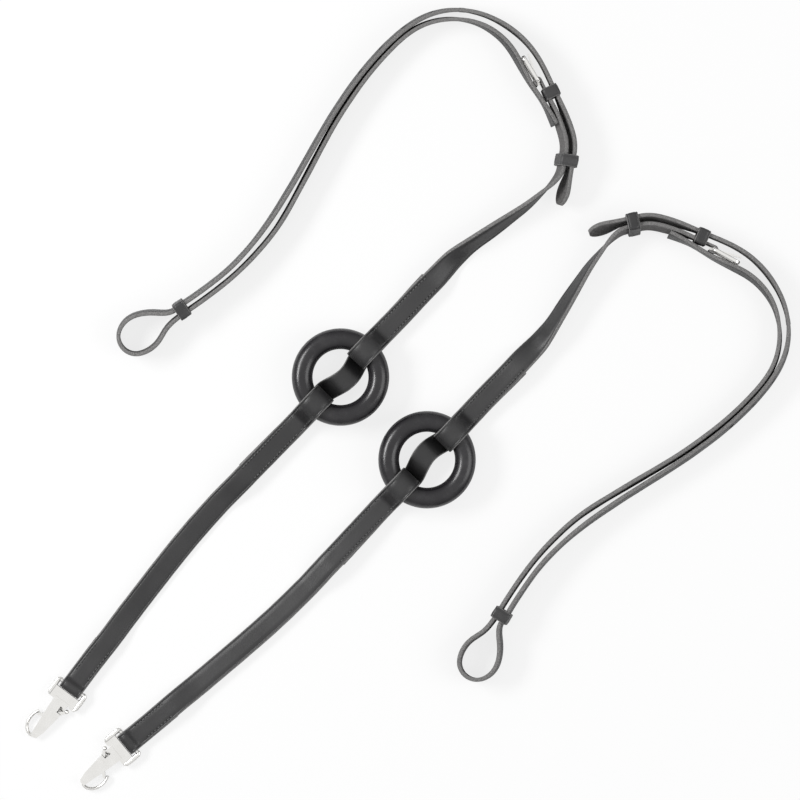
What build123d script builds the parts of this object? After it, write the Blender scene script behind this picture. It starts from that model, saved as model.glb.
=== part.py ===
"""A pair of leather side reins with rubber doughnut rings, laid out on a flat surface.

Millimetres, +Z up.  X = 0 is the mirror plane between the two reins, Y runs along them from the
snap hooks (low Y) to the buckles (high Y), and Z = 0 is the surface that they lie on.  The left
rein is drawn about a Y that suits its straps, and the pair is moved to its middle at the end.
"""
from build123d import *
import os
import numpy as np
from math import cos, degrees, pi, radians, sin, sqrt

# ---- leather -----------------------------------------------------------------------------
strap_width = 19.0          # three-quarter inch bridle leather
strap_t = 3.2               # thickness of the two long straps and of the billet
skived_t = 1.8              # thickness where the ring strap is pared down to fold at the buckle
safety_t = 2.4              # thickness of the safety strap under the ring
layer_gap = 0.15            # air between two sewn layers
safety_width = 18.0
skive_steps = (2.9, 2.4, 2.0)   # thicknesses on the way down to the skived end

# ---- rubber ring ---------------------------------------------------------------------------
ring_x = -48.6
ring_y = -29.0
ring_od = 79.0
ring_tube = 16.7            # thickness of the rubber section
fold_gap = 0.3              # air between the rubber and the leather fold at their nearest
ring_drop = 62.0            # slope at which a strap comes off the top of its fold, degrees
ring_ease = 8.0             # radius of the bend at the foot of that slope

# ---- snap hook -------------------------------------------------------------------------------
snap_x = -32.0              # centre of the bar that the bit strap is folded round
snap_y = -363.0
snap_turn = 7.0             # degrees that the snap and the end of the strap are turned in plan
eye_width = 30.0
eye_depth = 15.5            # from the bar to the far edge of the plate
eye_bar = 3.4               # diameter of the bar in the fold
eye_arm = 4.0               # thickness of the two side arms
eye_round = 1.5             # rounding of the arms
eye_past_bar = 2.0          # how far the eye reaches past the middle of its bar
snap_drop = 40.0            # slope at which the strap comes off the bar, degrees
snap_ease = 6.0
plate_near = 5.6            # near edge of the flat plate, from the bar
plate_t = 3.0
hook_t = 5.0                # thickness of the hook body
hook_reach = 52.0           # from the bar to the tip of the hook
hook_bar = 2.6              # width of the curved hook
spine_outline = ((-7.2, -13), (6.4, -13), (5.2, -30), (3.2, -44), (1.2, -50.4),
                 (-0.6, -51.5), (-4.4, -51.4), (-5.0, -44), (-6.2, -30))
hook_curve = ((-2.0, -50.7), (-6.4, -51.2), (-11.0, -47.6), (-13.0, -41.6), (-12.6, -36.0),
              (-10.6, -31.4))
slot_outline = ((9.0, -16.4), (9.0, -31.5), (-3.0, -37.5), (-7.5, -44.0), (-7.5, -24.0),
                (-4.0, -22.4), (-1.0, -16.4))
groove_size = (1.2, 27.0, 1.6)      # the sunk line along the spine
groove_middle = (-2.4, -36.0)
pocket_size = (8.0, 10.4)           # room for the ball and the coil, in plan
pocket_middle = (4.0, -19.6)
window_size = (5.6, 6.0)            # opening above the pocket
window_middle = (4.6, -20.6)
gate_t = 2.2
gate_fit = 0.12             # side clearance of the gate in its slot
gate_pin_d = 2.4
gate_hub_d = 6.0
gate_root = 4.4             # width of the gate's two arms at the pin
gate_end = 1.8              # and at their ends
pin_head_d = 3.8
pin_head_t = 0.7
pin_fit = 0.04              # radial running clearance of hinges
gate_pivot = (1.3, -27.7)
thumb_ball = (8.4, -18.9)
gate_tip = (-9.4, -34.0)
thumb_ball_d = 3.6
spring_wire = 0.6
spring_od = 3.6
spring_pitch = 1.25
spring_length = 4.4
spring_seat = (6.4, 1.6)    # from the pin along the lever, and from the lever's middle

# ---- buckle ---------------------------------------------------------------------------------
heel_x = -98.8              # centre of the heel bar
heel_y = 255.0
buckle_turn = 165.0         # direction of the frame from heel to front bar, degrees in plan
buckle_bar = 3.0            # thickness of the frame and diameter of the heel bar
buckle_length = 22.0        # from the heel bar to the front bar, centre to centre
buckle_clear = 1.0          # room for the strap's two edges inside the frame, in all
tongue_turn = 151.5
tongue_length = 24.0
tongue_d = 2.2
tongue_eye = 5.8            # outer diameter of the tongue's eye round the heel bar
tongue_thin = (0.55, 0.7)   # size of the tongue's tip beside its root
tongue_slot = 2.4           # room along the bar for the tongue in the strap's fold
frame_corner = 4.0
frame_round = 0.9

# ---- keepers --------------------------------------------------------------------------------
keeper_wall = 1.5
keeper_length = 10.0        # along the strap
keeper_play = 0.4           # room over each edge of the strap
slot_play = 0.75            # room on each face of the strap
fixed_spacing = 6.2         # ring strap to billet, centre to centre, at the fixed keeper
tip_spacing = 7.0           # the same at the tip keeper
loop_spacing = 6.4          # one strand to the other at the loop keeper

# ---- billet holes and tip ---------------------------------------------------------------------
hole_d = 4.5
hole_pitch = 25.0
hole_count = 9
first_hole = 103.0          # from the pointed end
point_length = 17.0

# ---- sewn ends --------------------------------------------------------------------------------
ring_sewn_end = 78.0        # Y where the safety strap ends on the ring strap
ring_tail_end = 70.0        # Y where the ring strap's turned-back end stops
bit_sewn_end = -138.0       # Y where the safety strap ends on the bit strap
bit_tail_end = -130.0       # Y where the bit strap's turned-back end stops
snap_tail_length = 44.0     # turned-back end at the snap hook
slope = 32.0                # length over which a strap comes down off a sewn stack

ring_radius = (ring_od - ring_tube) / 2
ring_near = sqrt((ring_od / 2 - ring_tube) ** 2 - (strap_width / 2) ** 2)
fold_reach = (ring_od / 2 + ring_near) / 2      # from the ring's centre to the axis of a fold
fold_radius = (ring_od / 2 - ring_near) / 2 + fold_gap + strap_t / 2
tail_height = safety_t + layer_gap + strap_t / 2
main_height = tail_height + strap_t + layer_gap
ring_z = tail_height + fold_radius
snap_fold_radius = eye_bar / 2 + 0.15 + strap_t / 2
snap_z = strap_t / 2 + snap_fold_radius
double_height = 1.5 * strap_t + layer_gap
heel_fold_radius = buckle_bar / 2 + 0.15 + skived_t / 2
buckle_inside = strap_width + buckle_clear
raised = buckle_bar + buckle_clear / 2          # height of the straps at the buckle
Z = Vector(0, 0, 1)


# ---- straps -----------------------------------------------------------------------------------
def smooth(rows, step=6.0):
    """Natural cubic through rows of (x, y, more...), resampled at an even spacing in plan."""
    rows = np.array(rows, float)
    chords = np.hypot(*np.diff(rows[:, :2], axis=0).T)
    at = np.concatenate([[0.0], np.cumsum(chords)])
    last = len(at) - 1
    matrix = np.eye(last + 1)
    right = np.zeros_like(rows)
    for i in range(1, last):
        before, after = chords[i - 1], chords[i]
        matrix[i, i - 1:i + 2] = before, 2 * (before + after), after
        right[i] = 6 * ((rows[i + 1] - rows[i]) / after - (rows[i] - rows[i - 1]) / before)
    bend = np.linalg.solve(matrix, right)
    stations = []
    for s in np.linspace(0, at[-1], int(round(at[-1] / step)) + 1):
        i = min(int(np.searchsorted(at, s, side="right")) - 1, last - 1)
        h = chords[i]
        a, b = (at[i + 1] - s) / h, (s - at[i]) / h
        curve = ((a ** 3 - a) * bend[i] + (b ** 3 - b) * bend[i + 1]) * h * h / 6
        stations.append(a * rows[i] + b * rows[i + 1] + curve)
    return np.array(stations)


def eased(value, start, end):
    """0 at start, 1 at end, with a soft beginning and end."""
    u = min(1.0, max(0.0, (value - start) / (end - start)))
    return u * u * (3 - 2 * u)


def lay(stations, heights):
    """Places (centre, width direction) for a strap laid along stations of (x, y, roll, lift).

    Roll is the turn of the strap's width from upright, towards the left of its travel: 0 stands
    it on edge and 90 lays it flat.  A height is that of the layer's middle above the bottom face.
    """
    places = []
    for i, (x, y, roll, lift) in enumerate(stations):
        before, after = stations[max(i - 1, 0)], stations[min(i + 1, len(stations) - 1)]
        travel = Vector(after[0] - before[0], after[1] - before[1], 0).normalized()
        left = Z.cross(travel)
        width = Z * cos(radians(roll)) + left * sin(radians(roll))
        normal = travel.cross(width)
        foot = lift + abs(width.Z) * strap_width / 2 + max(0.0, -normal.Z) * strap_t
        base = Vector(x, y, 0) - Vector(normal.X, normal.Y, 0) * strap_t / 2 + Z * foot
        places.append((base + normal * heights[i], width))
    return places


def strap(places, thicknesses, widths, ruled=True):
    """One leather strap: a rectangular section lofted through its places."""
    sections = []
    for i, (centre, width) in enumerate(places):
        ahead = places[min(i + 1, len(places) - 1)][0]
        behind = places[max(i - 1, 0)][0]
        travel = (ahead - behind).normalized()
        across = (width - travel * width.dot(travel)).normalized()
        plane = Plane(origin=centre, x_dir=across, z_dir=travel)
        sections.append(plane * Rectangle(widths[i], thicknesses[i]))
    return loft(sections, ruled=ruled)


def level_fold(height, radius, end_height, drop, ease):
    """Side view of a strap folded round a level bar that stands at the given height.

    Returns (run, height) points, where run grows from the bar along the strap: from under the bar
    round its far side, over its top, down at the angle drop, and level again at end_height
    through a bend of radius ease.
    """
    points = []
    for k in range(11):
        turn = pi * k / 10
        points.append((-radius * sin(turn), height - radius * cos(turn)))
    for k in range(1, 4):
        turn = drop * k / 3
        points.append((radius * sin(turn), height + radius * cos(turn)))
    start_run, start_height = points[-1]
    fall = start_height - end_height - ease * (1 - cos(drop))
    straight = fall / sin(drop)
    foot_run, foot_height = start_run + straight * cos(drop), start_height - fall
    points.append(((start_run + foot_run) / 2, (start_height + foot_height) / 2))
    for k in range(4):
        turn = drop * (1 - k / 3)
        points.append((foot_run + ease * (sin(drop) - sin(turn)),
                       foot_height - ease * (cos(turn) - cos(drop))))
    return points


def along(points, origin, heading):
    """Turns side-view (run, height) points into places, with run measured along a plan heading."""
    direction = Vector(cos(radians(heading)), sin(radians(heading)), 0)
    left = Z.cross(direction)
    return [(origin + direction * run + Z * height, left) for run, height in points]


# plan of the ring strap: x, y, roll, lift, from the ring to the buckle
ring_strap_plan = smooth([
    (ring_x, 26, 90, 0),
    (ring_x, 38, 88, 0),
    (-49.4, 58, 82, 0),
    (-50.0, 78, 74, 0),
    (-49.0, 100, 58, 0),
    (-46.6, 120, 36, 0),
    (-42.4, 140, 29, 0),
    (-38.4, 160, 20, 0.3),
    (-35.0, 179, 11, 1.2),
    (-33.6, 196, 0, 2.4),
    (-33.3, 206, -8, raised),
    (-35.3, 215.5, -12, raised),
    (-40.3, 223.0, -12, raised),
    (-45.3, 230.5, -12, raised),
    (-52.2, 236.6, -12, raised),
    (-61.0, 241.6, -11, raised),
    (-71.0, 246.9, -6, raised),
    (-81.0, 251.2, 0, raised),
    (-91.0, 254.9, 0, raised),
])

# plan of the bit strap, from the ring to the snap hook
turn_x, turn_y = sin(radians(snap_turn)), cos(radians(snap_turn))
bit_strap_plan = smooth([
    (ring_x, -86, 90, 0),
    (ring_x - 0.6, -100, 94, 0),
    (-49.9, -120, 99, 0),
    (-50.3, -140, 101, 0),
    (-49.8, -165, 101, 0),
    (-48.7, -200, 101, 0),
    (-45.6, -240, 101, 0),
    (-41.4, -280, 100, 0),
    (-37.3, -318, 97, 0),
    (snap_x - 26 * turn_x, snap_y + 26 * turn_y, 92, 0),
    (snap_x - 14 * turn_x, snap_y + 14 * turn_y, 90, 0),
])

# plan of the billet strap: its sewn end, the inner strand, the girth loop, the outer strand
billet_plan = smooth([
    (-64.2, 239.4, -11, raised),
    (-73.0, 242.7, -6, raised),
    (-83.0, 245.8, -1, raised),
    (-92.5, 248.0, 0, raised),
    (-100.6, 249.8, -1, raised),
    (-110.0, 252.6, -4, raised),
    (-119.0, 255.6, -7, 2.6),
    (-130.0, 258.9, -8, 1.6),
    (-142.0, 260.6, -6, 0.8),
    (-155.0, 259.7, -3, 0.2),
    (-167.5, 255.8, 1, 0),
    (-178.0, 249.6, 5, 0),
    (-187.0, 241.6, 8, 0),
    (-194.5, 231.8, 9, 0),
    (-200.0, 220.0, 10, 0),
    (-203.0, 206.0, 10, 0),
    (-203.8, 189.0, 10, 0),
    (-203.2, 170.0, 10, 0),
    (-201.0, 150.0, 10, 0),
    (-197.6, 130.0, 10, 0),
    (-193.2, 110.0, 10, 0),
    (-188.0, 91.0, 10, 0),
    (-182.3, 71.0, 10, 0),
    (-177.0, 52.0, 9, 0),
    (-172.3, 34.0, 9, 0.2),
    (-169.3, 17.0, 8, 0.6),
    (-168.0, 0.0, 8, 1.2),
    (-167.8, -16.0, 8, 2.0),
    (-168.8, -33.0, 8, 3.0),
    (-171.2, -51.0, 8, raised),
    (-174.6, -69.3, 8, raised),
    (-178.0, -87.6, 8, raised),
    (-178.3, -98.5, 8, 2.6),
    (-175.9, -111.0, 8, 1.4),
    (-177.4, -122.5, 7, 0.6),
    (-183.3, -131.3, 4, 0.2),
    (-192.6, -134.2, 0, 0),
    (-201.5, -130.6, -4, 0.2),
    (-206.2, -122.3, -7, 0.6),
    (-206.0, -112.5, -8, 1.2),
    (-201.4, -103.3, -8, 1.9),
    (-194.8, -96.0, -8, 2.7),
    (-188.9, -90.8, -8, 3.3),
    (-184.5, -84.8, -8, raised),
    (-183.3, -78.6, -8, raised),
    (-181.1, -67.3, -8, raised),
    (-177.7, -49.0, -8, raised),
    (-175.4, -32.0, -8, 3.0),
    (-174.9, -13.0, -8, 2.0),
    (-176.0, 5.0, -8, 1.2),
    (-178.8, 25.0, -9, 0.6),
    (-183.0, 46.0, -10, 0.2),
    (-188.2, 68.0, -10, 0),
    (-193.8, 90.0, -10, 0),
    (-198.9, 111.0, -10, 0),
    (-203.0, 131.0, -10, 0),
    (-206.2, 151.0, -10, 0),
    (-208.1, 171.0, -10, 0),
    (-208.5, 190.0, -10, 0),
    (-207.3, 208.0, -10, 0),
    (-204.0, 224.0, -10, 0),
    (-197.8, 238.5, -9, 0),
    (-188.3, 250.8, -7, 0),
    (-176.0, 260.4, -4, 0),
    (-161.0, 267.4, -2, 0.2),
    (-145.5, 271.1, 0, 0.8),
    (-130.0, 272.1, 0, 1.6),
    (-115.0, 270.2, 0, 2.6),
    (-101.0, 266.0, 0, raised),
    (-87.0, 260.6, 0, raised),
    (-74.0, 255.2, 4, raised),
    (-62.5, 249.9, 9, raised),
    (-52.0, 244.3, 12, raised),
    (-45.0, 239.8, 12, raised),
    (-39.5, 234.4, 12, raised),
    (-34.5, 226.9, 12, raised),
    (-29.5, 219.4, 12, raised),
    (-25.0, 211.6, 20, 2.6),
    (-20.8, 203.6, 29, 1.4),
    (-16.6, 195.2, 33, 0.8),
], step=2.0)


def make_ring_strap():
    """Folded round the rubber ring at one end and round the heel bar of the buckle at the other."""
    axis = Vector(ring_x, ring_y + fold_reach, 0)
    sewn = [row for row in ring_strap_plan if row[1] <= ring_tail_end]
    tail = lay(sewn, [tail_height] * len(sewn))
    under = along([(18, tail_height), (12, tail_height), (6, tail_height)], axis, 90)
    fold = along(level_fold(ring_z, fold_radius, main_height, radians(ring_drop), ring_ease), axis, 90)
    heights = []
    for row in ring_strap_plan:
        down = eased(row[1], ring_sewn_end - 4, ring_sewn_end - 4 + slope)
        heights.append(main_height + (strap_t / 2 - main_height) * down)
    main = lay(ring_strap_plan, heights)
    inward = Vector(cos(radians(buckle_turn)), sin(radians(buckle_turn)), 0)
    outward = inward.cross(Z)
    middle = Vector(heel_x, heel_y, raised + strap_width / 2)
    heel = []
    for k in range(9):
        turn = pi * k / 8
        offset = outward * cos(turn) + inward * sin(turn)
        heel.append((middle + offset * heel_fold_radius, Z))
    heel.append((heel[-1][0] - inward * 3.0, Z))
    places = tail[::-1] + under + fold + main + heel
    full = len(places) - len(heel) - len(skive_steps)
    thin = [strap_t] * full + list(skive_steps) + [skived_t] * len(heel)
    body = strap(places, thin, [strap_width] * len(places))
    slot_reach = heel_fold_radius + skived_t
    slot = Box(slot_reach + 4.5, 2 * slot_reach, tongue_d + tongue_slot)
    at_heel = Location(middle, (0, 0, buckle_turn))
    return body - at_heel * Pos(slot_reach / 2 - 1.75, -slot_reach / 4, 0) * slot


def make_bit_strap():
    """Folded round the rubber ring at one end and round the bar of the snap hook at the other."""
    axis = Vector(ring_x, ring_y - fold_reach, 0)
    sewn = [row for row in bit_strap_plan if row[1] >= bit_tail_end]
    tail = lay(sewn, [tail_height] * len(sewn))
    under = along([(18, tail_height), (12, tail_height), (6, tail_height)], axis, -90)
    fold = along(level_fold(ring_z, fold_radius, main_height, radians(ring_drop), ring_ease), axis, -90)
    heights = []
    tail_start = snap_y + snap_tail_length
    for row in bit_strap_plan:
        down = eased(-row[1], 4 - bit_sewn_end, 4 - bit_sewn_end + slope)
        up = eased(-row[1], -tail_start - slope, -tail_start)
        height = main_height + (strap_t / 2 - main_height) * down
        heights.append(height + (double_height - strap_t / 2) * up)
    main = lay(bit_strap_plan, heights)
    bar = Vector(snap_x, snap_y, 0)
    heading = 90 + snap_turn
    side_view = level_fold(snap_z, snap_fold_radius, double_height, radians(snap_drop), snap_ease)
    snap_fold = along(side_view, bar, heading)
    snap_fold = [(point, -left) for point, left in snap_fold]
    turned = [row for row in bit_strap_plan if row[1] <= tail_start]
    snap_tail = lay(turned, [strap_t / 2] * len(turned))
    places = tail[::-1] + under + fold + main + snap_fold[::-1] + snap_tail[::-1]
    return strap(places, [strap_t] * len(places), [strap_width] * len(places))


def make_safety_strap():
    """Sewn under both folds, with slack that arches up through the ring."""
    top_axis = Vector(ring_x, ring_y + fold_reach, safety_t / 2)
    low_axis = Vector(ring_x, ring_y - fold_reach, safety_t / 2)
    upper = [row for row in ring_strap_plan if row[1] <= ring_sewn_end]
    lower = [row for row in bit_strap_plan if row[1] >= bit_sewn_end]
    left = Vector(-1, 0, 0)
    places = lay(upper, [safety_t / 2] * len(upper))[::-1]
    places += [(top_axis + Vector(0, run, 0), left) for run in (16, 8, 0, -6)]
    for x, run, height in [(0.6, 9.5, 1.7), (1.5, 13, 4.2), (2.9, 17.5, 8.0), (4.0, 23, 11.4),
                           (3.9, 29.5, 12.6), (2.4, 36, 11.0), (0.4, 42, 7.2), (-0.9, 46.5, 3.8),
                           (-1.2, 50, 1.7)]:
        places.append((top_axis + Vector(x, -run, height - safety_t / 2), left))
    places += [(low_axis + Vector(-0.9, 6, 0), left), (low_axis + Vector(-0.4, 0, 0), left)]
    places += [(low_axis + Vector(0, run, 0), left) for run in (-8, -16)]
    places += [(point, -width) for point, width in lay(lower, [safety_t / 2] * len(lower))]
    return strap(places, [safety_t] * len(places), [safety_width] * len(places))


def make_billet_strap():
    """The long strap: sewn to the ring strap, round the girth loop and back through the keepers."""
    stations = list(billet_plan)
    places = lay(stations, [strap_t / 2] * len(stations))
    steps = [(places[i + 1][0] - places[i][0]).length for i in range(len(places) - 1)]
    to_tip = [sum(steps[i:]) for i in range(len(places))]
    kept = list(range(0, len(places) - 12, 3)) + list(range(len(places) - 12, len(places)))
    widths = []
    for i in kept:
        back = min(1.0, (to_tip[i] + 0.6) / (point_length + 0.6))
        widths.append(strap_width * sqrt(1 - (1 - back) ** 2))
    body = strap([places[i] for i in kept], [strap_t] * len(kept), widths, ruled=False)
    for k in range(hole_count):
        at = first_hole + k * hole_pitch
        i = min(range(len(places)), key=lambda j: abs(to_tip[j] - at))
        centre, width = places[i]
        travel = (places[i + 1][0] - places[i - 1][0]).normalized()
        punch = Plane(origin=centre, x_dir=travel, z_dir=travel.cross(width))
        body -= punch * Cylinder(hole_d / 2, 3 * strap_t)
    return body


# ---- keepers ------------------------------------------------------------------------------------
def keeper(x, y, heading, roll, slots):
    """A leather loop round upright straps.

    x, y is the middle of the strap it is measured from, and each slot is (spacing from that
    strap, room across the faces).
    """
    travel = Vector(cos(radians(heading)), sin(radians(heading)), 0)
    width = Z * cos(radians(roll)) + Z.cross(travel) * sin(radians(roll))
    height = raised + strap_width / 2 * width.Z + strap_t / 2 * abs(sin(radians(roll)))
    plane = Plane(origin=(x, y, height), x_dir=width, z_dir=travel)
    slant = sin(radians(roll))
    upright = cos(radians(roll))
    spots = [(-spacing * slant, spacing * upright, depth) for spacing, depth in slots]
    low = min(n - depth / 2 for _, n, depth in spots) - keeper_wall
    high = max(n + depth / 2 for _, n, depth in spots) + keeper_wall
    rise = max(u for u, _, _ in spots) - min(u for u, _, _ in spots)
    middle = (max(u for u, _, _ in spots) + min(u for u, _, _ in spots)) / 2
    outer = RectangleRounded(strap_width + 2 * (keeper_play + keeper_wall) + rise, high - low, 1.6)
    section = Pos(middle, (low + high) / 2) * outer
    for u, n, depth in spots:
        section -= Pos(u, n) * RectangleRounded(strap_width + 2 * keeper_play, depth, 0.8)
    return plane * extrude(section, keeper_length / 2, both=True)


def make_fixed_keeper():
    """Sewn in beside the buckle, round the ring strap and the billet."""
    depth = fixed_spacing + strap_t + 0.8
    return keeper(-86.0, 253.1, 159.5, 0, [((fixed_spacing + 0.4) / 2, depth)])


def make_tip_keeper():
    """Slides on the ring strap and holds the billet's end beside it."""
    depth = strap_t + 2 * slot_play
    return keeper(-40.3, 223.0, 124.0, -12, [(0, depth), (tip_spacing, depth)])


def make_loop_keeper():
    """Slides on both strands and sets the size of the girth loop."""
    depth = strap_t + 2 * slot_play
    return keeper(-183.1, -77.9, 79.2, -8, [(0, depth), (loop_spacing, depth)])


# ---- ring ---------------------------------------------------------------------------------------
def make_rubber_ring():
    """The solid rubber doughnut, held in the two folds."""
    return Pos(ring_x, ring_y, ring_z) * Torus(ring_radius, ring_tube / 2)


# ---- buckle ---------------------------------------------------------------------------------------
at_heel_bar = Location((heel_x, heel_y, 0), (0, 0, buckle_turn))


def make_buckle_frame():
    """Rectangular frame stood on edge, with a round heel bar for the fold and the tongue."""
    height = buckle_inside + 2 * buckle_bar
    outline = Plane.XZ * Pos(buckle_length / 2, height / 2)
    outer = RectangleRounded(buckle_length + buckle_bar, height, frame_corner)
    window = RectangleRounded(buckle_length - buckle_bar, buckle_inside, 1.5)
    frame = extrude(outline * (outer - window), buckle_bar / 2, both=True)
    heel_room = Pos(-buckle_bar, 0, height / 2) * Box(4 * buckle_bar, 2 * buckle_bar, buckle_inside)
    frame = frame - heel_room
    frame = fillet(frame.edges().filter_by(Axis.X), frame_round)
    bar = Cylinder(buckle_bar / 2, buckle_inside + buckle_bar)
    return at_heel_bar * (frame + Pos(0, 0, height / 2) * bar)


def make_buckle_tongue():
    """Eye round the heel bar and a tapered finger towards the front bar."""
    eye = Cylinder(tongue_eye / 2, tongue_d)
    start = Plane(origin=(tongue_eye / 2 - 0.8, 0, 0), x_dir=(0, 1, 0), z_dir=(1, 0, 0))
    end = Plane(origin=(tongue_length, 0, 0), x_dir=(0, 1, 0), z_dir=(1, 0, 0))
    low, wide = tongue_thin
    tip = Rectangle(tongue_d * low, tongue_d * wide)
    finger = loft([start * Rectangle(tongue_d, tongue_d), end * tip])
    blank = eye + finger - Cylinder(buckle_bar / 2 + pin_fit, 2 * tongue_d)
    middle = (heel_x, heel_y, raised + strap_width / 2)
    return Location(middle, (0, 0, tongue_turn)) * blank


# ---- snap hook --------------------------------------------------------------------------------------
droop = degrees(np.arctan((snap_z - hook_t / 2) / hook_reach))
at_snap = Location((snap_x, snap_y, snap_z), (0, 0, snap_turn)) * Location((0, 0, 0), (droop, 0, 0))


def make_snap_body():
    """Eye with a flat plate, and a hook whose curved side faces -X."""
    at_eye = Pos(0, -eye_depth / 2 + 1)
    loop_outer = at_eye * RectangleRounded(eye_width, eye_depth + eye_past_bar, 4.0)
    loop_inner = at_eye * Rectangle(eye_width - 2 * eye_arm, 2 * eye_depth)
    arms = extrude(loop_outer - loop_inner, eye_arm / 2, both=True)
    arms = fillet(arms.edges().filter_by(Axis.Y), eye_round)
    bar = Rot(0, 90, 0) * Cylinder(eye_bar / 2, eye_width - eye_arm)
    plate_depth = eye_depth - plate_near
    plate = Pos(0, -plate_near - plate_depth / 2, 0) * Box(eye_width - eye_arm, plate_depth, plate_t)
    spine = extrude(make_face(Polyline(spine_outline, close=True)), hook_t / 2, both=True)
    curve = Spline(hook_curve)
    at_root = Plane(origin=curve @ 0, x_dir=(0, 0, 1), z_dir=curve % 0)
    hook = sweep(at_root * Ellipse(hook_t * 0.42, hook_bar / 2), path=curve)
    body = spine + arms + bar + plate + hook
    slot_depth = gate_t + 2 * gate_fit
    slot = extrude(make_face(Polyline(slot_outline, close=True)), slot_depth / 2, both=True)
    groove = Pos(*groove_middle, hook_t / 2) * Rot(0, 0, 1.6) * Box(*groove_size)
    pin_hole = Pos(*gate_pivot) * Cylinder(gate_pin_d / 2, 2 * hook_t)
    pocket = Pos(*pocket_middle) * Box(*pocket_size, spring_od + 0.8)
    window = Pos(*window_middle, hook_t / 2) * Box(*window_size, hook_t)
    return at_snap * (body - slot - groove - pin_hole - pocket - window)


def make_snap_gate():
    """Lever on the pin: a ball for the thumb on one side, the closing arm on the other."""
    root = Pos(*gate_pivot) * Circle(gate_root / 2)
    blank = Pos(*gate_pivot) * Cylinder(gate_hub_d / 2, gate_t)
    for end in (gate_tip, thumb_ball):
        outline = make_hull([*root.edges(), *(Pos(*end) * Circle(gate_end / 2)).edges()])
        blank += extrude(outline, gate_t / 2, both=True)
    ball = Pos(*thumb_ball) * Sphere(thumb_ball_d / 2)
    bore = Pos(*gate_pivot) * Cylinder(gate_pin_d / 2 + pin_fit, 2 * gate_t)
    return at_snap * (blank + ball - bore)


def make_snap_pin():
    """Rivet through the hook body, domed at both ends, that the gate turns on."""
    shank = Cylinder(gate_pin_d / 2, hook_t)
    head = Cylinder(pin_head_d / 2, pin_head_t)
    off = (hook_t + pin_head_t) / 2
    heads = Pos(0, 0, off) * head + Pos(0, 0, -off) * head
    return at_snap * Pos(*gate_pivot) * (shank + heads)


def make_snap_spring():
    """Small coil between the hook body and the thumb side of the gate."""
    pivot = Vector(*gate_pivot, 0)
    ball = Vector(*thumb_ball, 0)
    lever = (ball - pivot).normalized()
    push = Z.cross(lever)
    reach, rise = spring_seat
    seat = pivot + lever * reach + push * rise
    radius = (spring_od - spring_wire) / 2
    helix = Helix(spring_pitch, spring_length, radius)
    section = Plane(origin=helix @ 0, z_dir=helix % 0) * Circle(spring_wire / 2)
    coil = sweep(section, path=helix, is_frenet=True)
    return at_snap * (Plane(origin=seat, x_dir=Z, z_dir=push) * coil)


# ---- the pair ------------------------------------------------------------------------------------
makers = {
    "ring_strap": make_ring_strap,
    "bit_strap": make_bit_strap,
    "safety_strap": make_safety_strap,
    "billet_strap": make_billet_strap,
    "rubber_ring": make_rubber_ring,
    "buckle_frame": make_buckle_frame,
    "buckle_tongue": make_buckle_tongue,
    "fixed_keeper": make_fixed_keeper,
    "tip_keeper": make_tip_keeper,
    "loop_keeper": make_loop_keeper,
    "snap_body": make_snap_body,
    "snap_gate": make_snap_gate,
    "snap_pin": make_snap_pin,
    "snap_spring": make_snap_spring,
}

pieces = {name: maker() for name, maker in makers.items()}
far_end = max(piece.bounding_box().max.Y for piece in pieces.values())
near_end = min(piece.bounding_box().min.Y for piece in pieces.values())
to_middle = Pos(0, -round((far_end + near_end) / 2, 1), 0)      # Y = 0 is the middle of the pair
print("moved in Y by", to_middle.position.Y)

os.makedirs("parts", exist_ok=True)
for name, piece in pieces.items():
    left_piece = to_middle * piece
    print(name, round(piece.volume), "mm3")
    export_step(left_piece, f"parts/left_{name}.step")
    export_step(left_piece.mirror(Plane.YZ), f"parts/right_{name}.step")
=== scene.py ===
# %% [markdown]
# # A pair of leather side reins with rubber rings
# Each rein is a long billet strap that runs from the buckle, round the girth and back to its
# keepers, joined by a shorter ring strap, a solid rubber ring and a bit strap to a snap hook.
# Every leather piece is drawn here again with rounded edges, crease lines and stitches, over the
# plain solids of the frame.  Only the left rein is drawn: the right one is its mirror image.

# %% Open the frame
from math import cos, pi, radians, sin, sqrt

import bmesh
import bpy
import numpy as np
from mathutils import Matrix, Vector, noise

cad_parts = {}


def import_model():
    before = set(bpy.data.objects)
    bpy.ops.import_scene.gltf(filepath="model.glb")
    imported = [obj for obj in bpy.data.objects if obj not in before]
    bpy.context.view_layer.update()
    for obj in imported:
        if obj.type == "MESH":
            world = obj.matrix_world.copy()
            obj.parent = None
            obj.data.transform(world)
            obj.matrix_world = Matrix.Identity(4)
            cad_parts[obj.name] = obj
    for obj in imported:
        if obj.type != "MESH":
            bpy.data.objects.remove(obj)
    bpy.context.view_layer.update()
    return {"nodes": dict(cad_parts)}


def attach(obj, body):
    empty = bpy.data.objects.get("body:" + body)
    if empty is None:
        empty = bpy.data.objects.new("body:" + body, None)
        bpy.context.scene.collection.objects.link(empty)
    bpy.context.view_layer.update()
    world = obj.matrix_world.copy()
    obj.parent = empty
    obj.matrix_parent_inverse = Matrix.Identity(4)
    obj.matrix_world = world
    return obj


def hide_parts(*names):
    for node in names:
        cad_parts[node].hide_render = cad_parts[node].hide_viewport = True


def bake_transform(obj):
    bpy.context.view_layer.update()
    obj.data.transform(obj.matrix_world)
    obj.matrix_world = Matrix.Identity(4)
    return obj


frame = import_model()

MM = 0.001
TO_MIDDLE = 71.1            # the reins are drawn about another Y than the frame's, in mm
SIDES = ("left", "right")
Z = Vector((0, 0, 1))


# %% [markdown]
# The leather's path is described by a few stations: where it is in plan, how far it is rolled from
# standing on edge, and how far it is lifted.  A natural cubic through them gives the easy curves
# that heavy leather takes.  Modelling the curves by eye would lose the fit to the frame's straps.

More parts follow.
